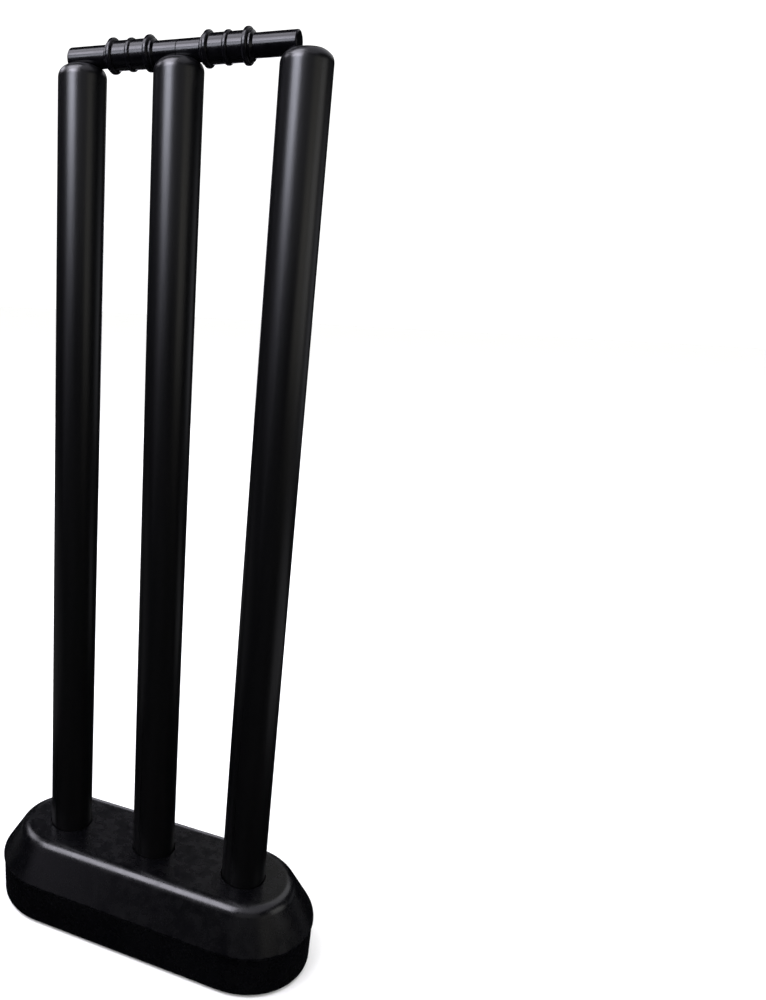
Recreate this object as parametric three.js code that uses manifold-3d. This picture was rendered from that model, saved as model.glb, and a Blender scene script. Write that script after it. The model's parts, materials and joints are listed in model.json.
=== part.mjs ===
// A free-standing cricket wicket in black plastic: three hollow stumps stand in the sockets of a
// weighted base, and two turned bails lie in the grooves across their tops.
// Millimetres. +Z is up, +X runs along the line of the stumps, and the origin is on the ground,
// under the middle of the base.

import * as THREE from 'three';
import { mergeVertices } from 'three/addons/utils/BufferGeometryUtils.js';
import Module from 'manifold-3d';

const wasm = await Module();
wasm.setup();

// The wicket as a whole
const WICKET_HEIGHT = 711;
const STUMP_PITCH = 84.5;
const SEAT_GAP = 0.3;
const CUT_OVERRUN = 1;

// Stumps: an extruded tube with a moulded cap and a moulded plug pushed into its ends
const STUMP_DIAMETER = 36.8;
const TUBE_WALL = 2.6;
const CAP_HEIGHT = 15;
const CAP_SHOULDER_RADIUS = 9;
const CAP_SKIRT_LENGTH = 18;
const CAP_CROWN_WALL = 3;
const PLUG_FLANGE = 3;
const PLUG_SKIRT_LENGTH = 16;
const SKIRT_WALL = 2.2;
const GROOVE_DEPTH = 3.4;

// Each stump stands a little out of square in its socket, in degrees towards +X
const LEFT_LEAN = 0.04;
const MIDDLE_LEAN = -0.43;
const RIGHT_LEAN = 0.41;

// Bails: a barrel with three beads between a long and a short spigot. A bail is longer than the
// pitch of the stumps by its reach, and its barrel hangs between the stumps with some play.
const BAIL_REACH = 3.7;
const BARREL_CLEARANCE = 0.6;
const BARREL_PLAY = 11.3;
const SPIGOT_DIAMETER = 16;
const BARREL_DIAMETER = 20.2;
const END_BEAD_DIAMETER = 24.6;
const MIDDLE_BEAD_DIAMETER = 22.6;
const END_BEAD_WIDTH = 4.2;
const MIDDLE_BEAD_WIDTH = 3.6;
const END_BEAD_INSET = 3.5;
const BARREL_SHOULDER = 1.4;
const SPIGOT_CHAMFER = 1.4;
const GROOVE_CLEARANCE = 0.4;
const BAIL_MEETING_GAP = 0.4;

// Base cover: a drafted shell with a rounded top edge, three sockets, ribs and screw bosses
const BASE_WIDTH = 121.6;
const END_OFFSET = 1.65;
const BASE_HEIGHT = 69.3;
const TOP_WIDTH = 82.8;
const TOP_EDGE_RADIUS = 8;
const PARTING_HEIGHT = 37;
const RIM_HEIGHT = 2;
const SHELL_WALL = 3;
const SOCKET_WALL = 3;
const SOCKET_CLEARANCE = 0.55;
const SOCKET_LEAD_IN = 0.6;
const RIB_THICKNESS = 2.4;
const RIB_CLEARANCE = 3;
const COVER_BOSS_DIAMETER = 10;
const BOSS_JOINT_DROP = 5;
const BOSS_OFFSET_SHARE = 0.2878;
const PILOT_RESERVE = 2.3;

// Base tray: a drafted pan whose tongue seats inside the cover's rim
const RIM_OVERHANG = 0.8;
const TRAY_DRAFT = 0.7;
const TRAY_EDGE_RADIUS = 3;
const TRAY_FLOOR = 3.5;
const TONGUE_WALL = 2;
const TONGUE_HEIGHT = 5;
const TONGUE_ROOT = 4;
const TONGUE_CLEARANCE = 0.4;
const HEAD_BORE_DIAMETER = 9;
const HEAD_SEAT_THICKNESS = 6;
const TRAY_BOSS_WALL = 2;

// Ballast, screws and foot pads
const BALLAST_THICKNESS = 6.7;
const BALLAST_EDGE_CLEARANCE = 3;
const BALLAST_HOLE_CLEARANCE = 0.8;
const SCREW_HEAD_DIAMETER = 8;
const SCREW_HEAD_HEIGHT = 3;
const SCREW_HEAD_EDGE = 1.2;
const SCREW_SHANK_DIAMETER = 4;
const SCREW_LENGTH = 18;
const SCREW_POINT = 2.5;
const SCREW_RECESS_WIDTH = 1.1;
const SCREW_RECESS_SPAN = 4.2;
const SCREW_RECESS_DEPTH = 1.6;
const SCREW_HOLE_CLEARANCE = 0.3;
const PAD_DIAMETER = 20;
const PAD_PROUD = 1.5;
const PAD_RECESS = 1.6;
const PAD_EDGE = 0.8;
const PAD_MARGIN = 6.3;
const PAD_BEARING = 45;

// Facets
const STUMP_SEGMENTS = 32;
const BAIL_SEGMENTS = 24;
const STADIUM_SEGMENTS = 36;
const SMALL_SEGMENTS = 16;
const CORNER_STEPS = 4;
const SHOULDER_STEPS = 6;
const BEAD_STEPS = 5;
const MERGE_SHARE = 1e-5;
const AXIS_SHARE = 1e-4;

// Heights and radii that follow from the sizes above
const baseStraight = STUMP_PITCH + END_OFFSET;
const baseLength = 2 * baseStraight + BASE_WIDTH;
const trayFoot = PAD_PROUD;
const trayFootRadius = BASE_WIDTH / 2 - RIM_OVERHANG - TRAY_DRAFT;
const trayFloorTop = trayFoot + TRAY_FLOOR;
const ballastFoot = trayFloorTop + SEAT_GAP;
const ballastTop = ballastFoot + BALLAST_THICKNESS;
const padOffset = trayFootRadius - TRAY_EDGE_RADIUS - PAD_MARGIN - PAD_DIAMETER / 2;
const ribFoot = PARTING_HEIGHT + TONGUE_HEIGHT + RIB_CLEARANCE;
const bossOffset = BASE_WIDTH * BOSS_OFFSET_SHARE;
const bossJoint = PARTING_HEIGHT - BOSS_JOINT_DROP;
const headSeat = bossJoint - HEAD_SEAT_THICKNESS;
const screwTip = headSeat - SEAT_GAP + SCREW_LENGTH;
const stumpRadius = STUMP_DIAMETER / 2;
const tubeBore = stumpRadius - TUBE_WALL;
const skirtRadius = tubeBore - SEAT_GAP;
const socketFloor = ballastTop + SEAT_GAP + SOCKET_WALL;
const stumpFoot = socketFloor + SEAT_GAP;
const stumpLength = WICKET_HEIGHT - stumpFoot;
const leanPivot = (BASE_HEIGHT + socketFloor) / 2;
const grooveRadius = SPIGOT_DIAMETER / 2 + GROOVE_CLEARANCE;
const bailHeight = WICKET_HEIGHT - GROOVE_DEPTH + grooveRadius;
const bailLength = STUMP_PITCH + BAIL_REACH;
const barrelStart = stumpRadius + BARREL_CLEARANCE;
const barrelEnd = barrelStart + STUMP_PITCH - STUMP_DIAMETER - BARREL_PLAY;

const radians = THREE.MathUtils.degToRad;
const point = (radius, height) => new THREE.Vector2(radius, height);

const blackPlastic = { color: 0x17181b, roughness: 0.42, metalness: 0 };
const blackShell = { color: 0x1b1b1e, roughness: 0.5, metalness: 0 };
const bailPlastic = { color: 0x1c1b21, roughness: 0.32, metalness: 0 };
const castIron = { color: 0x3a3a3c, roughness: 0.7, metalness: 0.8 };
const zincSteel = { color: 0xa9abad, roughness: 0.35, metalness: 1 };
const blackRubber = { color: 0x101011, roughness: 0.9, metalness: 0 };

// Points of the arc that rounds the corner between two straight stretches of a profile
function roundedCorner(before, corner, after, radius, steps) {
  const back = before.clone().sub(corner).normalize();
  const onward = after.clone().sub(corner).normalize();
  const half = Math.acos(back.dot(onward)) / 2;
  const centre = back.clone().add(onward).normalize();
  centre.multiplyScalar(radius / Math.sin(half)).add(corner);
  const start = back.multiplyScalar(radius / Math.tan(half)).add(corner);
  const end = onward.multiplyScalar(radius / Math.tan(half)).add(corner);
  const from = start.sub(centre);
  const turn = Math.atan2(from.cross(end.clone().sub(centre)), from.dot(end.sub(centre)));
  const points = [];
  for (let step = 0; step <= steps; step++) {
    points.push(from.clone().rotateAround(point(0, 0), turn * step / steps).add(centre));
  }
  return points;
}

// A closed geometry made into a solid: shared vertices merged, flat triangles dropped, faces out
function solidOf(geometry) {
  const bare = geometry.clone();
  bare.deleteAttribute('normal');
  bare.deleteAttribute('uv');
  const merged = mergeVertices(bare, STUMP_DIAMETER * MERGE_SHARE);
  const place = merged.getAttribute('position');
  const index = merged.getIndex().array;
  const corners = [new THREE.Vector3(), new THREE.Vector3(), new THREE.Vector3()];
  const kept = [];
  let volume = 0;
  for (let i = 0; i < index.length; i += 3) {
    const [a, b, c] = index.slice(i, i + 3);
    if (a === b || b === c || c === a) continue;
    corners.forEach((corner, k) => corner.fromBufferAttribute(place, [a, b, c][k]));
    volume += corners[0].dot(corners[1].clone().cross(corners[2]));
    kept.push([a, b, c]);
  }
  const triangles = kept.flatMap(([a, b, c]) => (volume < 0 ? [a, c, b] : [a, b, c]));
  return new wasm.Manifold(new wasm.Mesh({
    numProp: 3,
    vertProperties: new Float32Array(place.array),
    triVerts: new Uint32Array(triangles),
  }));
}

// The vertices and triangles of a solid as a geometry with flat faces
function geometryOf(solid) {
  const mesh = solid.getMesh();
  const geometry = new THREE.BufferGeometry();
  geometry.setAttribute('position', new THREE.BufferAttribute(new Float32Array(mesh.vertProperties), 3));
  geometry.setIndex(new THREE.BufferAttribute(new Uint32Array(mesh.triVerts), 1));
  geometry.computeVertexNormals();
  return geometry;
}

const joined = (solids) => solids.reduce((whole, next) => whole.add(next));
const cut = (solid, cutters) => cutters.reduce((rest, cutter) => rest.subtract(cutter), solid);

// A profile turned about +Z
function turnedGeometry(profile, segments, phase = 0) {
  return new THREE.LatheGeometry(profile, segments, phase).rotateX(Math.PI / 2);
}

// A turned solid parted at its middle plane and drawn out along X: the halves are the round ends,
// and the facets between them become the straight sides.
function stadiumSolid(profile, segments = STADIUM_SEGMENTS) {
  const step = 2 * Math.PI / segments;
  const flatToCorner = 1 / Math.cos(step / 2);
  const grown = profile.map((p) => point(p.x * flatToCorner, p.y));
  const geometry = turnedGeometry(grown, segments, step / 2);
  const place = geometry.getAttribute('position');
  const nearAxis = STUMP_DIAMETER * AXIS_SHARE;
  for (let i = 0; i < place.count; i++) {
    const x = place.getX(i);
    if (Math.abs(x) > nearAxis) place.setX(i, x + Math.sign(x) * baseStraight);
  }
  return solidOf(geometry);
}

// A plain round bar or hole standing at a place in plan
function roundAt(radius, low, high, x = 0, y = 0, segments = SMALL_SEGMENTS) {
  const profile = [point(0, low), point(radius, low), point(radius, high), point(0, high)];
  return solidOf(turnedGeometry(profile, segments).translate(x, y, 0));
}

// A box between two corners
function boxBetween(low, high) {
  const size = high.clone().sub(low);
  const middle = high.clone().add(low).multiplyScalar(0.5);
  const geometry = new THREE.BoxGeometry(size.x, size.y, size.z);
  return solidOf(geometry.translate(middle.x, middle.y, middle.z));
}

function meshOf(name, solid, look) {
  const mesh = new THREE.Mesh(geometryOf(solid), new THREE.MeshStandardMaterial(look));
  mesh.name = name;
  return mesh;
}

// Places of the screws and the foot pads in plan
const screwPlaces = [];
for (const side of [-1, 1]) {
  for (const face of [-1, 1]) screwPlaces.push([side * STUMP_PITCH / 2, face * bossOffset]);
  screwPlaces.push([side * (baseStraight + bossOffset), 0]);
}
const padPlaces = [];
for (const side of [-1, 1]) {
  for (const face of [-1, 1]) {
    const along = padOffset * Math.cos(radians(PAD_BEARING));
    const across = padOffset * Math.sin(radians(PAD_BEARING));
    padPlaces.push([side * (baseStraight + along), face * across]);
  }
}

// The cover's section moved inward by an inset: the foot and the head of its sloping wall
function coverSlope(inset) {
  const foot = point(BASE_WIDTH / 2, PARTING_HEIGHT + RIM_HEIGHT);
  const head = point(TOP_WIDTH / 2, BASE_HEIGHT);
  const along = head.clone().sub(foot).normalize();
  const start = foot.clone().addScaledVector(point(-along.y, along.x), inset);
  const rimRadius = BASE_WIDTH / 2 - inset;
  const atRadius = (radius) => start.clone().addScaledVector(along, (radius - start.x) / along.x);
  const atHeight = (height) => start.clone().addScaledVector(along, (height - start.y) / along.y);
  return { foot: atRadius(rimRadius), head: atHeight(BASE_HEIGHT - inset), atHeight };
}

// The space inside the cover's outline moved inward by an inset, down to a given height
function coverSolid(inset, low) {
  const { foot, head } = coverSlope(inset);
  const middle = point(0, head.y);
  const edge = roundedCorner(foot, head, middle, TOP_EDGE_RADIUS - inset, CORNER_STEPS);
  return stadiumSolid([point(0, low), point(foot.x, low), foot, ...edge, middle]);
}

function buildCover() {
  const shell = coverSolid(0, PARTING_HEIGHT).subtract(coverSolid(SHELL_WALL, PARTING_HEIGHT - CUT_OVERRUN));

  const socketBore = stumpRadius + SOCKET_CLEARANCE;
  const socketPlaces = [-STUMP_PITCH, 0, STUMP_PITCH];
  const underTop = BASE_HEIGHT - SHELL_WALL / 2;
  const sockets = socketPlaces.map((x) => roundAt(
    socketBore + SOCKET_WALL, socketFloor - SOCKET_WALL, underTop, x, 0, STUMP_SEGMENTS,
  ));
  const leadInProfile = [
    point(0, socketFloor),
    point(socketBore, socketFloor),
    point(socketBore, BASE_HEIGHT - SOCKET_LEAD_IN),
    point(socketBore + SOCKET_LEAD_IN + CUT_OVERRUN, BASE_HEIGHT + CUT_OVERRUN),
    point(0, BASE_HEIGHT + CUT_OVERRUN),
  ];
  const bores = socketPlaces.map((x) => solidOf(
    turnedGeometry(leadInProfile, STUMP_SEGMENTS).translate(x, 0, 0),
  ));

  const ribs = [boxBetween(
    new THREE.Vector3(-baseLength / 2, -RIB_THICKNESS / 2, ribFoot),
    new THREE.Vector3(baseLength / 2, RIB_THICKNESS / 2, BASE_HEIGHT),
  )];
  for (let half = -2; half <= 2; half++) {
    const x = half * STUMP_PITCH / 2;
    ribs.push(boxBetween(
      new THREE.Vector3(x - RIB_THICKNESS / 2, -BASE_WIDTH / 2, ribFoot),
      new THREE.Vector3(x + RIB_THICKNESS / 2, BASE_WIDTH / 2, BASE_HEIGHT),
    ));
  }
  const bosses = screwPlaces.map(([x, y]) => roundAt(
    COVER_BOSS_DIAMETER / 2, bossJoint, BASE_HEIGHT, x, y,
  ));
  const inside = joined([...ribs, ...bosses]).intersect(coverSolid(SHELL_WALL / 2, bossJoint));
  const pilots = screwPlaces.map(([x, y]) => roundAt(
    SCREW_SHANK_DIAMETER / 2 + SCREW_HOLE_CLEARANCE,
    bossJoint - CUT_OVERRUN,
    screwTip + PILOT_RESERVE,
    x,
    y,
  ));
  return cut(joined([shell, inside, ...sockets]), [...bores, ...pilots]);
}

function buildTray() {
  const rim = BASE_WIDTH / 2 - RIM_OVERHANG;
  const rimHeight = PARTING_HEIGHT - SEAT_GAP;
  const heel = point(trayFootRadius, trayFoot);
  const edge = roundedCorner(point(0, trayFoot), heel, point(rim, rimHeight), TRAY_EDGE_RADIUS, CORNER_STEPS);
  const outside = stadiumSolid([point(0, trayFoot), ...edge, point(rim, rimHeight), point(0, rimHeight)]);
  const inside = stadiumSolid([
    point(0, trayFloorTop),
    point(heel.x - SHELL_WALL, trayFloorTop),
    point(rim - SHELL_WALL, rimHeight + CUT_OVERRUN),
    point(0, rimHeight + CUT_OVERRUN),
  ]);

  const outer = coverSlope(SHELL_WALL + TONGUE_CLEARANCE);
  const inner = coverSlope(SHELL_WALL + TONGUE_CLEARANCE + TONGUE_WALL);
  const tongueTop = PARTING_HEIGHT + TONGUE_HEIGHT;
  const tongueRoot = PARTING_HEIGHT - TONGUE_ROOT;
  const start = point(outer.foot.x, tongueRoot);
  const tongue = stadiumSolid([
    start,
    outer.foot,
    outer.atHeight(tongueTop),
    inner.atHeight(tongueTop),
    inner.foot,
    point(inner.foot.x, tongueRoot),
    start.clone(),
  ]);

  const bossTop = bossJoint - SEAT_GAP;
  const bossRadius = HEAD_BORE_DIAMETER / 2 + TRAY_BOSS_WALL;
  const bosses = screwPlaces.map(([x, y]) => roundAt(
    bossRadius, trayFloorTop - TRAY_FLOOR / 2, bossTop, x, y, SMALL_SEGMENTS,
  ));
  const holeProfile = [
    point(0, trayFoot - CUT_OVERRUN),
    point(HEAD_BORE_DIAMETER / 2, trayFoot - CUT_OVERRUN),
    point(HEAD_BORE_DIAMETER / 2, headSeat),
    point(SCREW_SHANK_DIAMETER / 2 + SCREW_HOLE_CLEARANCE, headSeat),
    point(SCREW_SHANK_DIAMETER / 2 + SCREW_HOLE_CLEARANCE, bossTop + CUT_OVERRUN),
    point(0, bossTop + CUT_OVERRUN),
  ];
  const holes = screwPlaces.map(([x, y]) => solidOf(
    turnedGeometry(holeProfile, SMALL_SEGMENTS).translate(x, y, 0),
  ));
  const recesses = padPlaces.map(([x, y]) => roundAt(
    PAD_DIAMETER / 2 + SEAT_GAP, trayFoot - CUT_OVERRUN, trayFoot + PAD_RECESS, x, y,
  ));
  return cut(joined([outside.subtract(inside), tongue, ...bosses]), [...holes, ...recesses]);
}

// The ballast plate lies on the tray's floor, held down by the undersides of the sockets
function buildBallast() {
  const radius = trayFootRadius - SHELL_WALL - BALLAST_EDGE_CLEARANCE;
  const plate = stadiumSolid([
    point(0, ballastFoot),
    point(radius, ballastFoot),
    point(radius, ballastTop),
    point(0, ballastTop),
  ]);
  const bossRadius = HEAD_BORE_DIAMETER / 2 + TRAY_BOSS_WALL;
  const holes = screwPlaces.map(([x, y]) => roundAt(
    bossRadius + BALLAST_HOLE_CLEARANCE, ballastFoot - CUT_OVERRUN, ballastTop + CUT_OVERRUN, x, y,
  ));
  return cut(plate, holes);
}

// A pan-head screw driven up from below, with a cross recess in its head
function buildScrew() {
  const seat = headSeat - SEAT_GAP;
  const face = seat - SCREW_HEAD_HEIGHT;
  const headRadius = SCREW_HEAD_DIAMETER / 2;
  const shankRadius = SCREW_SHANK_DIAMETER / 2;
  const body = solidOf(turnedGeometry([
    point(0, face),
    point(headRadius - SCREW_HEAD_EDGE, face),
    point(headRadius, face + SCREW_HEAD_EDGE),
    point(headRadius, seat),
    point(shankRadius, seat),
    point(shankRadius, screwTip - SCREW_POINT),
    point(0, screwTip),
  ], SMALL_SEGMENTS));
  const arms = [
    [SCREW_RECESS_SPAN / 2, SCREW_RECESS_WIDTH / 2],
    [SCREW_RECESS_WIDTH / 2, SCREW_RECESS_SPAN / 2],
  ].map(([x, y]) => boxBetween(
    new THREE.Vector3(-x, -y, face - CUT_OVERRUN),
    new THREE.Vector3(x, y, face + SCREW_RECESS_DEPTH),
  ));
  return cut(body, arms);
}

function buildPad() {
  const radius = PAD_DIAMETER / 2;
  const top = trayFoot + PAD_RECESS - SEAT_GAP;
  return solidOf(turnedGeometry([
    point(0, 0),
    point(radius - PAD_EDGE, 0),
    point(radius, PAD_EDGE),
    point(radius, top),
    point(0, top),
  ], SMALL_SEGMENTS));
}

// Stump pieces stand on the stump's own foot, at height 0
function buildPlug() {
  const skirtTop = PLUG_FLANGE + PLUG_SKIRT_LENGTH;
  return solidOf(turnedGeometry([
    point(0, 0),
    point(stumpRadius, 0),
    point(stumpRadius, PLUG_FLANGE),
    point(skirtRadius, PLUG_FLANGE),
    point(skirtRadius, skirtTop),
    point(skirtRadius - SKIRT_WALL, skirtTop),
    point(skirtRadius - SKIRT_WALL, PLUG_FLANGE),
    point(0, PLUG_FLANGE),
  ], STUMP_SEGMENTS));
}

function buildTube() {
  const low = PLUG_FLANGE + SEAT_GAP;
  const high = stumpLength - CAP_HEIGHT - SEAT_GAP;
  return solidOf(turnedGeometry([
    point(stumpRadius, low),
    point(stumpRadius, high),
    point(tubeBore, high),
    point(tubeBore, low),
    point(stumpRadius, low),
  ], STUMP_SEGMENTS));
}

function buildCap() {
  const top = stumpLength;
  const seam = top - CAP_HEIGHT;
  const skirtFoot = seam - CAP_SKIRT_LENGTH;
  const crown = top - GROOVE_DEPTH - CAP_CROWN_WALL;
  const shoulder = roundedCorner(
    point(stumpRadius, seam), point(stumpRadius, top), point(0, top), CAP_SHOULDER_RADIUS, SHOULDER_STEPS,
  );
  const body = solidOf(turnedGeometry([
    point(0, crown),
    point(skirtRadius - SKIRT_WALL, crown - CAP_CROWN_WALL),
    point(skirtRadius - SKIRT_WALL, skirtFoot),
    point(skirtRadius, skirtFoot),
    point(skirtRadius, seam),
    point(stumpRadius, seam),
    ...shoulder,
    point(0, top),
  ], STUMP_SEGMENTS));
  const grooveAxis = top - GROOVE_DEPTH + grooveRadius;
  const groove = new THREE.CylinderGeometry(grooveRadius, grooveRadius, 2 * STUMP_DIAMETER, BAIL_SEGMENTS);
  return body.subtract(solidOf(groove.rotateZ(Math.PI / 2).translate(0, 0, grooveAxis)));
}

function buildStump(name, x, lean) {
  const stump = new THREE.Group();
  stump.add(meshOf(`${name}_plug`, buildPlug(), blackPlastic));
  stump.add(meshOf(`${name}_tube`, buildTube(), blackPlastic));
  stump.add(meshOf(`${name}_cap`, buildCap(), blackPlastic));
  for (const piece of stump.children) piece.position.z = stumpFoot - leanPivot;
  stump.position.set(x, 0, leanPivot);
  stump.rotation.y = radians(lean);
  return stump;
}

// A bead of the bail as an arc that stands proud of the barrel
function bead(middle, width, diameter) {
  const barrel = BARREL_DIAMETER / 2;
  const rise = diameter / 2 - barrel;
  const points = [];
  for (let step = 0; step <= BEAD_STEPS; step++) {
    const angle = Math.PI * step / BEAD_STEPS;
    points.push(point(barrel + rise * Math.sin(angle), middle - width / 2 * Math.cos(angle)));
  }
  return points;
}

// A bail along +X with its short spigot at the origin
function buildBail() {
  const spigot = SPIGOT_DIAMETER / 2;
  const barrel = BARREL_DIAMETER / 2;
  const profile = [
    point(0, 0),
    point(spigot - SPIGOT_CHAMFER, 0),
    point(spigot, SPIGOT_CHAMFER),
    point(spigot, barrelStart - BARREL_SHOULDER),
    point(barrel, barrelStart),
    ...bead(barrelStart + END_BEAD_INSET, END_BEAD_WIDTH, END_BEAD_DIAMETER),
    ...bead((barrelStart + barrelEnd) / 2, MIDDLE_BEAD_WIDTH, MIDDLE_BEAD_DIAMETER),
    ...bead(barrelEnd - END_BEAD_INSET, END_BEAD_WIDTH, END_BEAD_DIAMETER),
    point(barrel, barrelEnd),
    point(spigot, barrelEnd + BARREL_SHOULDER),
    point(spigot, bailLength - SPIGOT_CHAMFER),
    point(spigot - SPIGOT_CHAMFER, bailLength),
    point(0, bailLength),
  ];
  const phase = Math.PI / BAIL_SEGMENTS;
  return solidOf(turnedGeometry(profile, BAIL_SEGMENTS, phase).rotateY(Math.PI / 2));
}

const wicket = new THREE.Group();
wicket.name = 'cricket_stumps';
wicket.add(meshOf('base_cover', buildCover(), blackShell));
wicket.add(meshOf('base_tray', buildTray(), blackShell));
wicket.add(meshOf('ballast_plate', buildBallast(), castIron));
screwPlaces.forEach(([x, y], i) => {
  const screw = meshOf(`base_screw_${i + 1}`, buildScrew(), zincSteel);
  screw.position.set(x, y, 0);
  wicket.add(screw);
});
padPlaces.forEach(([x, y], i) => {
  const pad = meshOf(`foot_pad_${i + 1}`, buildPad(), blackRubber);
  pad.position.set(x, y, 0);
  wicket.add(pad);
});

wicket.add(buildStump('stump_left', -STUMP_PITCH, LEFT_LEAN));
wicket.add(buildStump('stump_middle', 0, MIDDLE_LEAN));
wicket.add(buildStump('stump_right', STUMP_PITCH, RIGHT_LEAN));

// The two bails meet over the top of the middle stump, wherever its lean puts it
const meeting = (WICKET_HEIGHT - leanPivot) * Math.tan(radians(MIDDLE_LEAN));
for (const [name, side] of [['bail_left', -1], ['bail_right', 1]]) {
  const bail = meshOf(name, buildBail(), bailPlastic);
  if (side < 0) bail.rotation.z = Math.PI;
  bail.position.set(meeting + side * BAIL_MEETING_GAP / 2, 0, bailHeight);
  wicket.add(bail);
}

export default wicket;
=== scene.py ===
# A free-standing cricket wicket in black plastic: three tubular stumps with moulded crowns stand
# in the sockets of a weighted, two-part base, and two turned-looking bails lie across their tops.
# Blender works in metres. Sizes below are in millimetres and go through MM.

import json
import math

import bmesh
import bpy
from mathutils import Matrix, Vector


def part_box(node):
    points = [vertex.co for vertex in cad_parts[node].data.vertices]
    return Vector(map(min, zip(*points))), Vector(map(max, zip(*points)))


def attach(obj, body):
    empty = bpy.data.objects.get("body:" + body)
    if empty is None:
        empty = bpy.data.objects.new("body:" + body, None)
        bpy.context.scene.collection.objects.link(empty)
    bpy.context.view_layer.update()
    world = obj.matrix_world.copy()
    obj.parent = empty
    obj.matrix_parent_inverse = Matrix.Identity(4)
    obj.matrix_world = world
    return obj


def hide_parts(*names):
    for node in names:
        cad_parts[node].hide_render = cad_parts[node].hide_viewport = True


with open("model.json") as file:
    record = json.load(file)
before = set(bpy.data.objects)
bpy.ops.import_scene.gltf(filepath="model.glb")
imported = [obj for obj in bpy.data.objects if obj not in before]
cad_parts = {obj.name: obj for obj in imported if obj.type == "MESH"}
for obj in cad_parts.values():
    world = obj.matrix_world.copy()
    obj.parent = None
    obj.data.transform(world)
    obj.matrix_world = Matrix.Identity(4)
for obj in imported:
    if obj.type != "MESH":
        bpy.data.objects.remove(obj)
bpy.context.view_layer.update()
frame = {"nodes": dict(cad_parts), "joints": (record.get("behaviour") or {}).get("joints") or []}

MM = 0.001

# The stumps' own sizes. Heights on a stump are measured from its foot
STUMP_PITCH = 84.5
STUMP_RADIUS = 18.4
STUMP_FOOT = 15.6
STUMP_LENGTH = 695.4
TUBE_WALL = 2.6
LEAN_PIVOT = 42.3
CROWN_HEIGHT = 15.0
CROWN_SHOULDER = 9.0
HALF_SEAM = 0.01
GROOVE_DEPTH = 3.4
GROOVE_RADIUS = 8.4
GROOVE_EASE = 0.7
PLUG_FLANGE = 3.0
PLUG_RADIUS = 15.5
PLUG_BORE = 13.3
PLUG_TOP = 19.0

# The base's own sizes. Widths are measured from its middle line, and heights from the ground.
# The shoulder's bend is 8 mm in the frame, and is drawn as wide as its highlight shows
END_CENTRE = 86.15
BASE_TOP = 69.3
TOP_HALF_WIDTH = 41.4
SHOULDER_BEND = 12.0
BASE_HALF_WIDTH = 60.8
SLOPE_FOOT = 39.0
RIM_FOOT = 37.0
SHELL_WALL = 3.0
SOCKET_RADIUS = 18.95
SOCKET_FLOOR = 15.3
TRAY_HALF_WIDTH = 60.0
TRAY_DRAFT = 0.7
TRAY_RIM = 36.7
TRAY_FLOOR = 5.0
UNDERSIDE = 1.5
SCREW_OFFSET = 35.0
WELL_RADIUS = 4.5
WELL_TOP = 26.0
SCREW_HOLE_RADIUS = 2.3
TOWER_RADIUS = 6.5
TOWER_TOP = 31.7
PAD_OFFSET = 40.0
PAD_RADIUS = 10.0
PAD_HEIGHT = 2.8
POCKET_RADIUS = 10.3
POCKET_TOP = 3.1

# The bails' own sizes. Places along a bail are measured from its inner end
SPIGOT_RADIUS = 8.0
BARREL_RADIUS = 10.1
BARREL_START = 19.0
BARREL_END = 55.4
BARREL_TAPER = 1.4
OUTER_BEAD_INSET = 3.5
OUTER_BEAD_WIDTH = 4.2
OUTER_BEAD_TOP = 12.3
MIDDLE_BEAD_WIDTH = 3.6
MIDDLE_BEAD_TOP = 11.3

# How finely round things are drawn: points round a circle, degrees a step round a bend, and
# millimetres between a bend and the points that hold the flat beside it
TURNED_STEPS = 96
STUMP_STEPS = 192
PAD_STEPS = 64
HOLE_STEPS = 48
END_STEPS = 48
SIDE_STEPS = 14
CROWN_SHOULDER_STEPS = 26
CROWN_RING_GAP = 0.45
BEND_STEP = 9.0
HOLD = 0.35


# ---------------------------------------------------------------- shapes


def rounded(corners):
    """A section through its corners, each given as (radius out, height, bend). A point stands
    just before and just after each bend, so that the flat stretches beside it stay flat."""
    line = []
    for place, (out, height, bend) in enumerate(corners):
        here = Vector((out, height))
        if bend == 0:
            line.append(here)
            continue
        back = (Vector(corners[place - 1][:2]) - here).normalized()
        onward = (Vector(corners[place + 1][:2]) - here).normalized()
        half = back.angle(onward) / 2
        reach = bend / math.tan(half)
        centre = here + (back + onward).normalized() * (bend / math.sin(half))
        spoke = here + back * reach - centre
        turn = math.pi - 2 * half
        if back.cross(onward) > 0:
            turn = -turn
        steps = max(2, math.ceil(math.degrees(abs(turn)) / BEND_STEP))
        hold = min(HOLD, bend)
        line.append(here + back * (reach + hold))
        for step in range(steps + 1):
            line.append(centre + Matrix.Rotation(turn * step / steps, 2) @ spoke)
        line.append(here + onward * (reach + hold))
    return line


def round_ring(bm, out, height, centre=(0, 0), steps=TURNED_STEPS):
    """Points on a level circle."""
    ring = []
    for step in range(steps):
        turn = math.tau * step / steps
        x = centre[0] + out * math.cos(turn)
        y = centre[1] + out * math.sin(turn)
        ring.append(bm.verts.new((x * MM, y * MM, height * MM)))
    return ring


def outline_ring(bm, out, height):
    """Points round the base's outline: half circles about the centres of its two ends, and
    straight sides between them."""
    plan = []
    for side in (1, -1):
        for step in range(END_STEPS + 1):
            turn = math.pi * (step / END_STEPS - 0.5)
            plan.append((side * (END_CENTRE + out * math.cos(turn)), side * out * math.sin(turn)))
        for step in range(1, SIDE_STEPS):
            plan.append((side * END_CENTRE * (1 - 2 * step / SIDE_STEPS), side * out))
    return [bm.verts.new((x * MM, y * MM, height * MM)) for x, y in plan]


def skin(bm, rings):
    """Four-sided faces between each ring of points and the next."""
    for near, far in zip(rings, rings[1:]):
        for i in range(len(near)):
            j = (i + 1) % len(near)
            bm.faces.new((near[i], near[j], far[j], far[i]))


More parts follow.
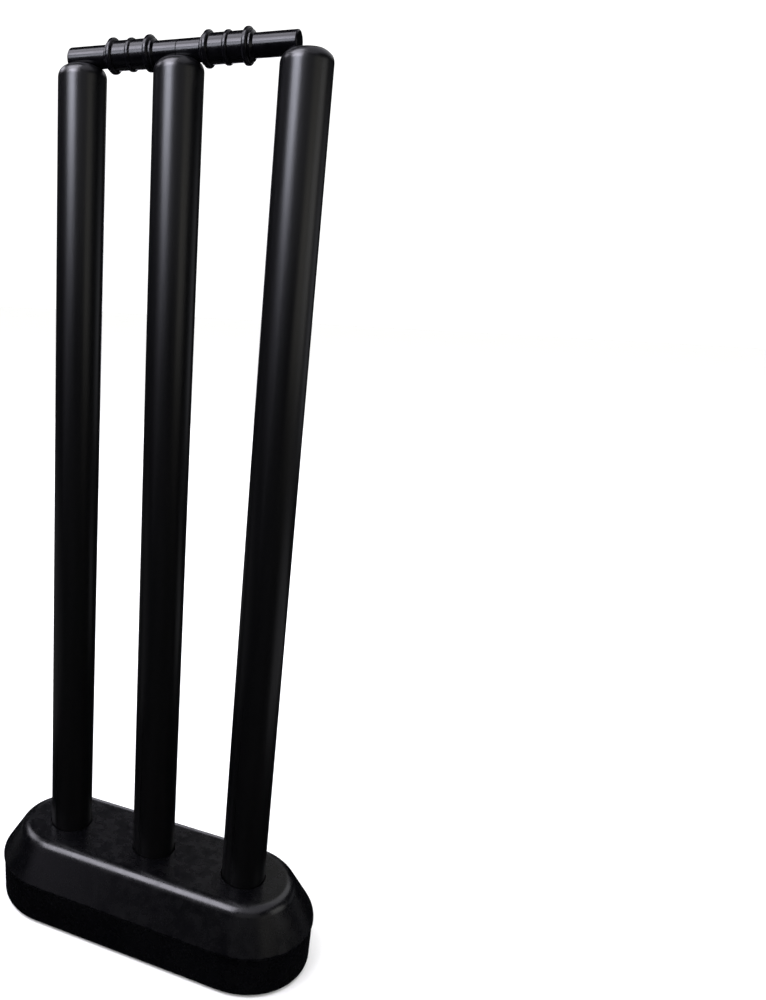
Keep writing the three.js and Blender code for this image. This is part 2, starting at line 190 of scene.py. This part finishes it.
def close_with_point(bm, ring, x, y, height):
    """A level disc of triangles from a ring to its middle."""
    middle = bm.verts.new((x * MM, y * MM, height * MM))
    for i in range(len(ring)):
        bm.faces.new((ring[i], ring[(i + 1) % len(ring)], middle))


def fill_between(bm, rings):
    """A level face bounded by the first ring, with the other rings as holes in it."""
    edges = []
    for ring in rings:
        for i in range(len(ring)):
            edges.append(bm.edges.get((ring[i], ring[(i + 1) % len(ring)])))
    bmesh.ops.triangle_fill(bm, use_beauty=True, use_dissolve=False, edges=edges)


def mark_worn_edges(bm, full_wear_bend=0.8, least_span=1e-6):
    """Writes how far each point's bend has been rubbed: 1 on outer bends of 0.8 mm radius or
    less, and a tenth of that on one of 8 mm."""
    layer = bm.verts.layers.float.new("worn")
    for edge in bm.edges:
        if len(edge.link_faces) != 2:
            continue
        one, other = edge.link_faces
        span = (one.calc_center_median() - other.calc_center_median()).length
        bend = edge.calc_face_angle_signed(0) / max(span, least_span)
        rubbed = max(0, min(1, bend * full_wear_bend * MM))
        for vert in edge.verts:
            vert[layer] = max(vert[layer], rubbed)


def piece_from(bm, name, body, stands_for, material, place=None):
    """Turns a finished shape into a piece that rides on its body and stands for its CAD node."""
    bmesh.ops.recalc_face_normals(bm, faces=bm.faces)
    mark_worn_edges(bm)
    mesh = bpy.data.meshes.new(name)
    bm.to_mesh(mesh)
    bm.free()
    mesh.shade_smooth()
    mesh.materials.append(material)
    piece = bpy.data.objects.new(name, mesh)
    bpy.context.scene.collection.objects.link(piece)
    if place is not None:
        piece.matrix_world = place
    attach(piece, body)
    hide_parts(stands_for)


def turned_shape(section, steps=TURNED_STEPS):
    """A closed shape turned from a section that starts and ends on its axis."""
    bm = bmesh.new()
    rings = [round_ring(bm, point.x, point.y, steps=steps) for point in section[1:-1]]
    skin(bm, rings)
    close_with_point(bm, rings[0], 0, 0, section[0].y)
    close_with_point(bm, rings[-1], 0, 0, section[-1].y)
    return bm


def add_pocket(bm, x, y, radius, mouth, floor, bends, margin=1.45, steps=TURNED_STEPS):
    """A round pocket in a level face, down or up to its flat floor, or the outside of one. Its
    bends are those of its mouth and of its floor. Gives the ring where the face begins, a small
    margin outside the mouth."""
    section = rounded([
        (radius + margin, mouth, 0),
        (radius, mouth, bends[0]),
        (radius, floor, bends[1]),
        (0, floor, 0),
    ])
    walls = [round_ring(bm, point.x, point.y, (x, y), steps) for point in section[:-1]]
    skin(bm, walls)
    close_with_point(bm, walls[-1], x, y, floor)
    return walls[0]


def socket_places():
    """Three sockets in a row."""
    return [(side * STUMP_PITCH, 0) for side in (-1, 0, 1)]


def screw_places():
    """Four screws between the sockets and one beyond each outer socket."""
    inner = [(x * STUMP_PITCH / 2, y * SCREW_OFFSET) for x in (-1, 1) for y in (-1, 1)]
    return inner + [(x * (END_CENTRE + SCREW_OFFSET), 0) for x in (-1, 1)]


def pad_places():
    """Four pads on the diagonals of the two round ends."""
    step = PAD_OFFSET * math.sqrt(0.5)
    return [(x * (END_CENTRE + step), y * step) for x in (-1, 1) for y in (-1, 1)]


def make_base_cover(material):
    """The upper moulding: flat top, rounded shoulder, sloping wall and a short upright rim, hollow
    underneath, with three deep sockets whose mouths are eased for the stumps."""
    bm = bmesh.new()
    ceiling = BASE_TOP - SHELL_WALL
    rim_inside = BASE_HALF_WIDTH - SHELL_WALL
    # Over the shoulder and down the wall, under the rim and back up to the ceiling. The level
    # faces round the sockets begin at its two ends
    section = rounded([
        (33, BASE_TOP, 0),
        (TOP_HALF_WIDTH, BASE_TOP, SHOULDER_BEND),
        (BASE_HALF_WIDTH, SLOPE_FOOT, 1.2),
        (BASE_HALF_WIDTH, RIM_FOOT, 0.4),
        (rim_inside, RIM_FOOT, 0.4),
        (rim_inside, 38.1, 0.4),
        (39.76, ceiling, 5),
        (36, ceiling, 0),
    ])
    rings = [outline_ring(bm, point.x, point.y) for point in section]
    skin(bm, rings)
    mouths = []
    sleeves = []
    sleeve_radius = SOCKET_RADIUS + SHELL_WALL
    sleeve_floor = SOCKET_FLOOR - SHELL_WALL
    for x, y in socket_places():
        mouths.append(add_pocket(bm, x, y, SOCKET_RADIUS, BASE_TOP, SOCKET_FLOOR, (0.6, 0.8)))
        sleeves.append(add_pocket(bm, x, y, sleeve_radius, ceiling, sleeve_floor, (0.8, 0.5)))
    fill_between(bm, [rings[0], *mouths])
    fill_between(bm, [rings[-1], *sleeves])
    piece_from(bm, "base_cover_moulding", "base", "base_cover", material)


def make_base_tray(material):
    """The lower moulding: a shallow pan a little smaller than the rim above it, with rounded
    heels, screw wells underneath and the towers that they end in, and pockets for the pads."""
    bm = bmesh.new()
    inside = TRAY_HALF_WIDTH - SHELL_WALL
    # From the underside round the heel, up the wall, over the rim and down to the floor within
    section = rounded([
        (53, UNDERSIDE, 0),
        (TRAY_HALF_WIDTH - TRAY_DRAFT, UNDERSIDE, 3),
        (TRAY_HALF_WIDTH, TRAY_RIM, 0.4),
        (inside, TRAY_RIM, 0.4),
        (inside - TRAY_DRAFT, TRAY_FLOOR, 1),
        (48, TRAY_FLOOR, 0),
    ])
    rings = [outline_ring(bm, point.x, point.y) for point in section]
    skin(bm, rings)
    below = []
    within = []
    # Up the well and through the screw's hole, then down the outside of the tower to the floor
    well = rounded([
        (WELL_RADIUS + 0.9, UNDERSIDE, 0),
        (WELL_RADIUS, UNDERSIDE, 0.3),
        (WELL_RADIUS, WELL_TOP, 0.2),
        (SCREW_HOLE_RADIUS, WELL_TOP, 0.1),
        (SCREW_HOLE_RADIUS, TOWER_TOP, 0.2),
        (TOWER_RADIUS, TOWER_TOP, 0.4),
        (TOWER_RADIUS, TRAY_FLOOR, 0.5),
        (TOWER_RADIUS + 1.1, TRAY_FLOOR, 0),
    ])
    for place in screw_places():
        walls = [round_ring(bm, point.x, point.y, place, HOLE_STEPS) for point in well]
        skin(bm, walls)
        below.append(walls[0])
        within.append(walls[-1])
    for x, y in pad_places():
        pocket = add_pocket(
            bm, x, y, POCKET_RADIUS, UNDERSIDE, POCKET_TOP, (0.2, 0.1), margin=0.6, steps=HOLE_STEPS
        )
        below.append(pocket)
    fill_between(bm, [rings[0], *below])
    fill_between(bm, [rings[-1], *within])
    piece_from(bm, "base_tray_moulding", "base", "base_tray", material)


def make_foot_pads(material):
    """Round rubber feet. A dimple and two grip grooves are turned into the face that stands on
    the ground."""
    face = [(0, 0.25, 0), (1.6, 0.25, 0.1), (2, 0, 0.1)]
    for groove in (3.4, 5.8):
        face += [
            (groove, 0, 0.1),
            (groove + 0.3, 0.4, 0.1),
            (groove + 0.6, 0.4, 0.1),
            (groove + 0.9, 0, 0.1),
        ]
    section = rounded([
        *face,
        (PAD_RADIUS - 0.8, 0, 0.3),
        (PAD_RADIUS, 0.8, 0.3),
        (PAD_RADIUS, PAD_HEIGHT, 0.2),
        (0, PAD_HEIGHT, 0),
    ])
    for number in range(1, len(pad_places()) + 1):
        low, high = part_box(f"foot_pad_{number}")
        middle = (low + high) / 2
        place = Matrix.Translation((middle.x, middle.y, 0))
        shape = turned_shape(section, PAD_STEPS)
        name = f"rubber_foot_{number}"
        piece_from(shape, name, "base", f"foot_pad_{number}", material, place)


def crown_height(out, across):
    """Height of the crown's top surface under its own rounding and the groove cut along X, with
    the corner between the two eased by about half a millimetre."""
    past = out - (STUMP_RADIUS - CROWN_SHOULDER)
    dome = STUMP_LENGTH
    if past > 0:
        dome += math.sqrt(max(0, CROWN_SHOULDER ** 2 - past ** 2)) - CROWN_SHOULDER
    if abs(across) >= GROOVE_RADIUS:
        return dome
    axis = STUMP_LENGTH - GROOVE_DEPTH + GROOVE_RADIUS
    groove = axis - math.sqrt(GROOVE_RADIUS ** 2 - across ** 2)
    share = max(0, min(1, 0.5 + 0.5 * (groove - dome) / GROOVE_EASE))
    return groove + (dome - groove) * share - GROOVE_EASE * share * (1 - share)


def make_crown(name, body, stands_for, material, place):
    """A stump's moulded crown: domed shoulder, flat middle and the bail groove across it."""
    bm = bmesh.new()
    seam = STUMP_LENGTH - CROWN_HEIGHT
    flat = STUMP_RADIUS - CROWN_SHOULDER
    outs = [CROWN_RING_GAP * step for step in range(1, int(flat / CROWN_RING_GAP) + 1)]
    for step in range(CROWN_SHOULDER_STEPS + 1):
        turn = math.pi / 2 * step / CROWN_SHOULDER_STEPS
        outs.append(flat + CROWN_SHOULDER * math.sin(turn))
    rings = []
    for out in outs:
        ring = []
        for step in range(STUMP_STEPS):
            turn = math.tau * step / STUMP_STEPS
            across = out * math.sin(turn)
            spot = (out * math.cos(turn) * MM, across * MM, crown_height(out, across) * MM)
            ring.append(bm.verts.new(spot))
        rings.append(ring)
    foot = seam + HALF_SEAM
    wall_down_to_foot = [
        (STUMP_RADIUS, seam + 3),
        (STUMP_RADIUS, seam + 0.06),
        (STUMP_RADIUS, seam + 0.03),
        (STUMP_RADIUS - 0.02, foot),
        (STUMP_RADIUS - 0.5, foot),
    ]
    for out, height in wall_down_to_foot:
        rings.append(round_ring(bm, out, height, steps=STUMP_STEPS))
    skin(bm, rings)
    close_with_point(bm, rings[0], 0, 0, crown_height(0, 0))
    close_with_point(bm, rings[-1], 0, 0, foot)
    piece_from(bm, name, body, stands_for, material, place)


def stump_place(side):
    """Where a stump's foot stands and how it leans, from the axis that it is pulled along."""
    joint = next(j for j in frame["joints"] if j["name"] == f"stump_{side}_pull")
    lean = math.atan2(joint["axis"][0], joint["axis"][2])
    pivot_x = {"left": -STUMP_PITCH, "middle": 0, "right": STUMP_PITCH}[side] * MM
    foot_below_pivot = Matrix.Translation((0, 0, (STUMP_FOOT - LEAN_PIVOT) * MM))
    leaning = Matrix.Rotation(lean, 4, "Y") @ foot_below_pivot
    return Matrix.Translation((pivot_x, 0, LEAN_PIVOT * MM)) @ leaning


def make_stump(side, material_tube, material_crown):
    """One stump on its own, slightly leaning axis: the tube, its crown and the plug in its foot."""
    place = stump_place(side)
    body = f"stump_{side}"
    low = PLUG_FLANGE + 0.1
    high = STUMP_LENGTH - CROWN_HEIGHT - HALF_SEAM
    bore = STUMP_RADIUS - TUBE_WALL
    around = rounded([
        (bore + 1, low, 0),
        (STUMP_RADIUS, low, 0.15),
        (STUMP_RADIUS, high, 0.02),
        (bore, high, 0.15),
        (bore, low, 0.15),
        (bore + 1, low, 0),
    ])
    bm = bmesh.new()
    rings = [round_ring(bm, point.x, point.y, steps=STUMP_STEPS) for point in around[:-1]]
    skin(bm, [*rings, rings[0]])
    piece_from(bm, f"{body}_pipe", body, f"{body}_tube", material_tube, place)
    make_crown(f"{body}_crown", body, f"{body}_cap", material_crown, place)
    plug = turned_shape(rounded([
        (0, 0.8, 0),
        (13, 0.8, 0.4),
        (14, 0, 0.4),
        (STUMP_RADIUS, 0, 0.7),
        (STUMP_RADIUS, PLUG_FLANGE, 0.15),
        (PLUG_RADIUS, PLUG_FLANGE, 0.2),
        (PLUG_RADIUS, PLUG_TOP, 0.4),
        (PLUG_BORE, PLUG_TOP, 0.4),
        (PLUG_BORE, PLUG_FLANGE, 0.4),
        (0, PLUG_FLANGE, 0),
    ]))
    piece_from(plug, f"{body}_foot_plug", body, f"{body}_plug", material_crown, place)


def bead(middle, width, top):
    """Corners of one raised bead: a full round that meets the barrel in small hollows."""
    crest_inset = 0.2
    crest_bend = width * 0.38
    return [
        (BARREL_RADIUS, middle - width / 2, 0.35),
        (top, middle - width / 2 + crest_inset, crest_bend),
        (top, middle + width / 2 - crest_inset, crest_bend),
        (BARREL_RADIUS, middle + width / 2, 0.35),
    ]


def make_bail(side, material):
    """A bail: a stout barrel with three beads, a short spigot and a long one. The short spigots
    meet on the middle stump, nearly square-ended, so that the two bails look like one."""
    low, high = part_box(f"bail_{side}")
    length = (high.x - low.x) / MM
    section = rounded([
        (0, 0, 0),
        (SPIGOT_RADIUS, 0, 0.15),
        (SPIGOT_RADIUS, BARREL_START - BARREL_TAPER, 0.5),
        (BARREL_RADIUS, BARREL_START, 0.5),
        *bead(BARREL_START + OUTER_BEAD_INSET, OUTER_BEAD_WIDTH, OUTER_BEAD_TOP),
        *bead((BARREL_START + BARREL_END) / 2, MIDDLE_BEAD_WIDTH, MIDDLE_BEAD_TOP),
        *bead(BARREL_END - OUTER_BEAD_INSET, OUTER_BEAD_WIDTH, OUTER_BEAD_TOP),
        (BARREL_RADIUS, BARREL_END, 0.5),
        (SPIGOT_RADIUS, BARREL_END + BARREL_TAPER, 0.5),
        (SPIGOT_RADIUS, length, 1.4),
        (0, length, 0),
    ])
    middle = (low + high) / 2
    inner_end = high.x if side == "left" else low.x
    heading = -1 if side == "left" else 1
    lying = Matrix.Rotation(heading * math.pi / 2, 4, "Y")
    place = Matrix.Translation((inner_end, middle.y, middle.z)) @ lying
    body = f"bail_{side}"
    piece_from(turned_shape(section), f"{body}_moulding", body, body, material, place)


# ---------------------------------------------------------------- finishes


def linear(hex_code):
    """An sRGB hex colour as the linear values that a shader takes."""
    parts = [int(hex_code[i:i + 2], 16) / 255 for i in (1, 3, 5)]
    return (*[c / 12.92 if c <= 0.04045 else ((c + 0.055) / 1.055) ** 2.4 for c in parts], 1)


def add(tree, kind, inputs, **settings):
    """Adds one node with its settings. An input is a value, or another node's output to link."""
    node = tree.nodes.new(kind)
    for name, value in settings.items():
        setattr(node, name, value)
    for name, value in inputs.items():
        if isinstance(value, bpy.types.NodeSocket):
            tree.links.new(value, node.inputs[name])
        else:
            node.inputs[name].default_value = value
    return node


def blank(name):
    """A new material with an empty node tree."""
    material = bpy.data.materials.new(name)
    material.use_nodes = True
    material.node_tree.nodes.clear()
    return material, material.node_tree


def black_plastic(name, deep, pale, scuff, roughness, grain, grain_height, streak=1.0, specular=0.5):
    """Carbon-black filled plastic. The body colour drifts a little between deep and pale over
    about 45 mm, as regrind does. The skin has a fine grain, rub marks a few millimetres long and
    outer edges that handling has rubbed paler and duller. Streak above 1 draws grain and marks
    out along the piece, as a die does."""
    regrind_cloud = 45
    rub_mark = 9
    material, tree = blank(name)
    spot = add(tree, "ShaderNodeTexCoord", {}).outputs["Object"]
    drawn = add(tree, "ShaderNodeMapping", {
        "Vector": spot,
        "Scale": (1, 1, 1 / streak),
    }).outputs["Vector"]
    cloud = add(tree, "ShaderNodeTexNoise", {
        "Vector": drawn,
        "Scale": 1 / (regrind_cloud * MM),
        "Detail": 3.0,
        "Roughness": 0.55,
    })
    fine = add(tree, "ShaderNodeTexNoise", {
        "Vector": drawn,
        "Scale": 1 / (grain * MM),
        "Detail": 2.0,
    })
    rub = add(tree, "ShaderNodeTexNoise", {
        "Vector": drawn,
        "Scale": 1 / (rub_mark * MM),
        "Detail": 4.0,
        "Roughness": 0.62,
    })
    drift = add(tree, "ShaderNodeMapRange", {
        "Value": cloud.outputs["Fac"],
        "From Min": 0.35,
        "From Max": 0.65,
    })
    body = add(tree, "ShaderNodeMix", {
        "Factor": drift.outputs["Result"],
        "A": linear(deep),
        "B": linear(pale),
    }, data_type="RGBA")
    worn = add(tree, "ShaderNodeAttribute", {}, attribute_name="worn").outputs["Fac"]
    patchy = add(tree, "ShaderNodeMapRange", {
        "Value": rub.outputs["Fac"],
        "From Min": 0.42,
        "From Max": 0.66,
    })
    rubbed = add(tree, "ShaderNodeMath", {0: worn, 1: patchy.outputs["Result"]}, operation="MULTIPLY")
    colour = add(tree, "ShaderNodeMix", {
        "Factor": rubbed.outputs["Value"],
        "A": body.outputs["Result"],
        "B": linear(scuff),
    }, data_type="RGBA")
    dull = add(tree, "ShaderNodeMapRange", {
        "Value": rub.outputs["Fac"],
        "From Min": 0.3,
        "From Max": 0.7,
        "To Min": roughness - 0.05,
        "To Max": roughness + 0.06,
    })
    duller = add(tree, "ShaderNodeMath", {
        0: rubbed.outputs["Value"],
        1: 0.15,
        2: dull.outputs["Result"],
    }, operation="MULTIPLY_ADD")
    relief = add(tree, "ShaderNodeBump", {
        "Height": fine.outputs["Fac"],
        "Strength": 1.0,
        "Distance": grain_height * MM,
    })
    shader = add(tree, "ShaderNodeBsdfPrincipled", {
        "Base Color": colour.outputs["Result"],
        "Roughness": duller.outputs["Value"],
        "Normal": relief.outputs["Normal"],
        "IOR": 1.5,
        "Specular IOR Level": specular,
    })
    add(tree, "ShaderNodeOutputMaterial", {"Surface": shader.outputs["BSDF"]})
    return material


def cast_iron(name):
    """Sand-cast grey iron, left rough: dark, with a coarse skin and rust blooms about 30 mm
    across. The sand's grains are about 0.3 mm, drawn at 1.2 mm to show."""
    material, tree = blank(name)
    spot = add(tree, "ShaderNodeTexCoord", {}).outputs["Object"]
    sand = add(tree, "ShaderNodeTexNoise", {"Vector": spot, "Scale": 1 / (1.2 * MM), "Detail": 4.0})
    bloom = add(tree, "ShaderNodeTexNoise", {"Vector": spot, "Scale": 1 / (30 * MM), "Detail": 6.0})
    rust = add(tree, "ShaderNodeMapRange", {
        "Value": bloom.outputs["Fac"],
        "From Min": 0.55,
        "From Max": 0.7,
    })
    colour = add(tree, "ShaderNodeMix", {
        "Factor": rust.outputs["Result"],
        "A": linear("#3b3a39"),
        "B": linear("#5a3826"),
    }, data_type="RGBA")
    relief = add(tree, "ShaderNodeBump", {
        "Height": sand.outputs["Fac"],
        "Strength": 1.0,
        "Distance": 0.15 * MM,
    })
    shader = add(tree, "ShaderNodeBsdfPrincipled", {
        "Base Color": colour.outputs["Result"],
        "Metallic": 0.7,
        "Roughness": 0.62,
        "Normal": relief.outputs["Normal"],
    })
    add(tree, "ShaderNodeOutputMaterial", {"Surface": shader.outputs["BSDF"]})
    return material


def zinc_plated_steel(name):
    """Cold-headed steel screw, zinc plated: bright, slightly blue, with a faint cloud of about
    2 mm in its plating."""
    material, tree = blank(name)
    spot = add(tree, "ShaderNodeTexCoord", {}).outputs["Object"]
    cloud = add(tree, "ShaderNodeTexNoise", {"Vector": spot, "Scale": 1 / (2 * MM), "Detail": 3.0})
    colour = add(tree, "ShaderNodeMix", {
        "Factor": cloud.outputs["Fac"],
        "A": linear("#a9adb3"),
        "B": linear("#c3c2bb"),
    }, data_type="RGBA")
    dull = add(tree, "ShaderNodeMapRange", {
        "Value": cloud.outputs["Fac"],
        "To Min": 0.24,
        "To Max": 0.42,
    })
    shader = add(tree, "ShaderNodeBsdfPrincipled", {
        "Base Color": colour.outputs["Result"],
        "Metallic": 1.0,
        "Roughness": dull.outputs["Result"],
    })
    add(tree, "ShaderNodeOutputMaterial", {"Surface": shader.outputs["BSDF"]})
    return material


def black_rubber(name):
    """Compression-moulded rubber: dead matt, with ground-in dust in 4 mm patches that pales the
    high spots."""
    material, tree = blank(name)
    spot = add(tree, "ShaderNodeTexCoord", {}).outputs["Object"]
    dust = add(tree, "ShaderNodeTexNoise", {"Vector": spot, "Scale": 1 / (4 * MM), "Detail": 5.0})
    share = add(tree, "ShaderNodeMapRange", {
        "Value": dust.outputs["Fac"],
        "From Min": 0.45,
        "From Max": 0.75,
    })
    colour = add(tree, "ShaderNodeMix", {
        "Factor": share.outputs["Result"],
        "A": linear("#101011"),
        "B": linear("#34322f"),
    }, data_type="RGBA")
    relief = add(tree, "ShaderNodeBump", {
        "Height": dust.outputs["Fac"],
        "Strength": 1.0,
        "Distance": 0.08 * MM,
    })
    shader = add(tree, "ShaderNodeBsdfPrincipled", {
        "Base Color": colour.outputs["Result"],
        "Roughness": 0.85,
        "Normal": relief.outputs["Normal"],
        "IOR": 1.52,
    })
    add(tree, "ShaderNodeOutputMaterial", {"Surface": shader.outputs["BSDF"]})
    return material


def pale_floor(name):
    """A plain matt studio floor, off-white."""
    material, tree = blank(name)
    spot = add(tree, "ShaderNodeTexCoord", {}).outputs["Object"]
    cloud = add(tree, "ShaderNodeTexNoise", {"Vector": spot, "Scale": 3.0, "Detail": 2.0})
    colour = add(tree, "ShaderNodeMix", {
        "Factor": cloud.outputs["Fac"],
        "A": linear("#efefee"),
        "B": linear("#f2f2f1"),
    }, data_type="RGBA")
    shader = add(tree, "ShaderNodeBsdfPrincipled", {
        "Base Color": colour.outputs["Result"],
        "Roughness": 0.9,
        "Specular IOR Level": 0.1,
    })
    add(tree, "ShaderNodeOutputMaterial", {"Surface": shader.outputs["BSDF"]})
    return material


# ---------------------------------------------------------------- the wicket

# Extruded ABS tube: satin black, its grain and marks drawn out along the length by the die. The
# die's lines are about 0.2 mm wide, drawn at 1.2 mm to show
stump_tube = black_plastic(
    "extruded_abs_stump_tube", "#010102", "#030304", "#0e0f12",
    roughness=0.31, grain=1.2, grain_height=0.004, streak=40,
)
# The crown and foot plug are moulded of the same ABS and polished along the stump, so that they
# have the tube's satin look and no joint shows
stump_end = black_plastic(
    "moulded_abs_stump_end", "#010102", "#030304", "#0e0f12",
    roughness=0.31, grain=1.2, grain_height=0.004, streak=40,
)
# The base is moulded ABS from a spark-eroded mould, which gives it a fine even sparkle. The grain
# is about 0.3 mm, drawn at 0.9 mm to show
base_shell = black_plastic(
    "moulded_abs_base_grained", "#010103", "#030305", "#101014",
    roughness=0.26, grain=0.9, grain_height=0.006, specular=0.64,
)
# The bails are moulded ABS from a polished mould, which gives them the sharpest highlights, with
# a shallow ripple of about 1 mm from the polishing
bail_body = black_plastic(
    "moulded_abs_bail_polished", "#010102", "#030304", "#100f13",
    roughness=0.20, grain=1.0, grain_height=0.002, specular=0.20,
)
foot_rubber = black_rubber("moulded_rubber_foot")
plate_iron = cast_iron("sand_cast_iron_plate")
screw_steel = zinc_plated_steel("zinc_plated_steel_screw")

make_base_cover(base_shell)
make_base_tray(base_shell)
make_foot_pads(foot_rubber)
for side in ("left", "middle", "right"):
    make_stump(side, stump_tube, stump_end)
for side in ("left", "right"):
    make_bail(side, bail_body)

for name, node in frame["nodes"].items():
    finish = base_shell
    if name == "ballast_plate":
        finish = plate_iron
    elif name.startswith("base_screw"):
        finish = screw_steel
    elif name.startswith("foot_pad"):
        finish = foot_rubber
    elif name.startswith("bail"):
        finish = bail_body
    elif name.startswith("stump"):
        finish = stump_tube if name.endswith("tube") else stump_end
    node.data.materials.clear()
    node.data.materials.append(finish)


# ---------------------------------------------------------------- floor, light and camera


def make_floor():
    """A wide level floor, left out of reflections so that the plastic stays black."""
    bm = bmesh.new()
    reach = 20
    bmesh.ops.create_grid(bm, x_segments=8, y_segments=8, size=reach)
    mesh = bpy.data.meshes.new("studio_floor")
    bm.to_mesh(mesh)
    bm.free()
    mesh.materials.append(pale_floor("matt_studio_floor"))
    floor = bpy.data.objects.new("studio_floor", mesh)
    bpy.context.scene.collection.objects.link(floor)
    floor.visible_glossy = False


def softbox(name, place, aim, width, height, radiance, colour, grid=90):
    """A rectangular softbox at a place, turned towards a point, in metres. Its grid lets light
    out up to so many degrees from straight ahead."""
    data = bpy.data.lights.new(name, "AREA")
    data.shape = "RECTANGLE"
    data.size = width
    data.size_y = height
    data.energy = radiance * math.pi * width * height
    data.color = linear(colour)[:3]
    data.spread = math.radians(2 * grid)
    light = bpy.data.objects.new(name, data)
    bpy.context.scene.collection.objects.link(light)
    light.location = place
    light.rotation_euler = (Vector(aim) - Vector(place)).to_track_quat("-Z", "Y").to_euler()
    light.visible_camera = False


def overhead_box(name, x, y, width, depth, radiance, colour, ceiling=2.2):
    """A softbox under the ceiling that faces straight down."""
    softbox(name, (x, y, ceiling), (x, y, 0), width, depth, radiance, colour)


def table_card(name, x, y, width, depth, radiance, colour, thickness=0.01):
    """A pale card that lies on the table and faces straight up."""
    softbox(name, (x, y, thickness), (x, y, 1), width, depth, radiance, colour)


def upright_panel(name, turn, distance, bottom, top, width, radiance, colour, grid=90):
    """An upright softbox that faces the wicket's middle. Its turn is in degrees from straight in
    front, to the right, and the rest is in metres."""
    side = math.sin(math.radians(turn)) * distance
    front = -math.cos(math.radians(turn)) * distance
    middle = (bottom + top) / 2
    softbox(name, (side, front, middle), (0, 0, middle), width, top - bottom, radiance, colour, grid)


def make_world():
    """White to the camera and to matt surfaces, and dim in reflections, like a dark studio
    round a lit white table."""
    world = bpy.data.worlds.new("studio")
    world.use_nodes = True
    tree = world.node_tree
    tree.nodes.clear()
    path = add(tree, "ShaderNodeLightPath", {})
    bright = add(tree, "ShaderNodeBackground", {"Color": linear("#ffffff"), "Strength": 1.2})
    dim = add(tree, "ShaderNodeBackground", {"Color": linear("#c8ccd8"), "Strength": 0.012})
    chosen = add(tree, "ShaderNodeMixShader", {
        "Fac": path.outputs["Is Glossy Ray"],
        1: bright.outputs["Background"],
        2: dim.outputs["Background"],
    })
    add(tree, "ShaderNodeOutputWorld", {"Surface": chosen.outputs["Shader"]})
    bpy.context.scene.world = world


def make_camera():
    """The photograph's camera, from a pinhole fit to the stumps' edges, the line of the bails
    and the base's outline. Pixels are those of the 766 x 1000 frame, the place is in
    millimetres, and the azimuth turns from straight in front to the right."""
    frame_width = 766
    frame_height = 1000
    focal = 833.61
    centre_x = 180.05
    centre_y = 499.03
    place = Vector((263.16, -594.55, 548.28)) * MM
    azimuth = math.radians(23.010)
    pitch = math.radians(13.785)
    roll = math.radians(-2.541)
    data = bpy.data.cameras.new("photo_camera")
    data.sensor_width = 36
    data.lens = focal * data.sensor_width / frame_height
    data.shift_x = (frame_width / 2 - centre_x) / frame_height
    data.shift_y = (centre_y - frame_height / 2) / frame_height
    data.clip_start = 0.05
    data.clip_end = 100
    level_reach = math.cos(pitch)
    ahead = Vector((
        -math.sin(azimuth) * level_reach,
        math.cos(azimuth) * level_reach,
        -math.sin(pitch),
    ))
    level = ahead.cross(Vector((0, 0, 1))).normalized()
    sunk = ahead.cross(level)
    right = level * math.cos(roll) + sunk * math.sin(roll)
    up = -ahead.cross(right)
    turn = Matrix((right, up, -ahead)).transposed().to_4x4()
    camera = bpy.data.objects.new("photo_camera", data)
    bpy.context.scene.collection.objects.link(camera)
    camera.matrix_world = Matrix.Translation(place) @ turn
    bpy.context.scene.camera = camera


make_floor()
make_world()
make_camera()
# Overhead, in front and to the left: the bails' upper sides and the base's shoulder
overhead_box("overhead", -0.765, -0.875, 1.27, 1.55, 8.2, "#f1effc")
# Farther left: the shoulder's left end
overhead_box("overhead_left", -2.5, 0.5, 1.4, 1.6, 4.3, "#f1effc")
# Dim ones to the right and behind: the shoulder's right end
overhead_box("overhead_right", 0.635, -0.05, 1.53, 2.3, 0.72, "#f1effc")
overhead_box("overhead_back", 0.8, 2.3, 1.4, 2.4, 1.05, "#f6f6fc")
# At the front left, from bail height up: the soft band down each stump
upright_panel("front_left_panel", -23, 1.2, 0.81, 1.51, 0.68, 3.0, "#e9ebfa", grid=34)
# Above it: the front of the bails and crowns
upright_panel("front_left_upper_panel", -26, 0.9, 1.15, 1.65, 0.7, 13, "#efedfc", grid=52)
# Below it: the base's sloping wall
upright_panel("front_left_lower_panel", -38, 1.2, 0.35, 0.81, 0.6, 0.24, "#f2ecff")
# Dim panels at the front, right and back right: the faint grey sides and edges of the stumps
upright_panel("front_fill_panel", 27, 1.2, 0.62, 1.4, 1.0, 0.28, "#f6f6fc")
upright_panel("right_panel", 65, 1.2, 0.42, 1.4, 0.64, 0.125, "#fffcf4", grid=36)
upright_panel("far_right_panel", 94, 1.2, 0.42, 1.05, 0.54, 1.2, "#fbfaf8")
upright_panel("back_right_panel", 134, 1.4, 0.2, 0.9, 0.8, 0.03, "#f4f6ff", grid=25)
# To either side: the lower edges of the stumps and of the base
table_card("left_card", -1.1, 0.15, 1.5, 1.3, 0.09, "#f6f6fc")
table_card("right_card", 0.98, 0.25, 1.05, 0.7, 0.3, "#f6f6fc")
# A dim sheet high behind: the grey of the base's flat top at the right
softbox("back_right_sheet", (-0.135, 1.6, 1.4), (0, 0, 0.1), 0.57, 1.2, 0.2, "#fffff6")
# Far behind and low, opposite the camera: the stumps seen from the back, and the rest of the top
upright_panel("back_panel", 203, 3.0, 0.1, 1.3, 1.4, 1.7, "#f1effc")
bpy.context.scene.view_settings.view_transform = "Standard"
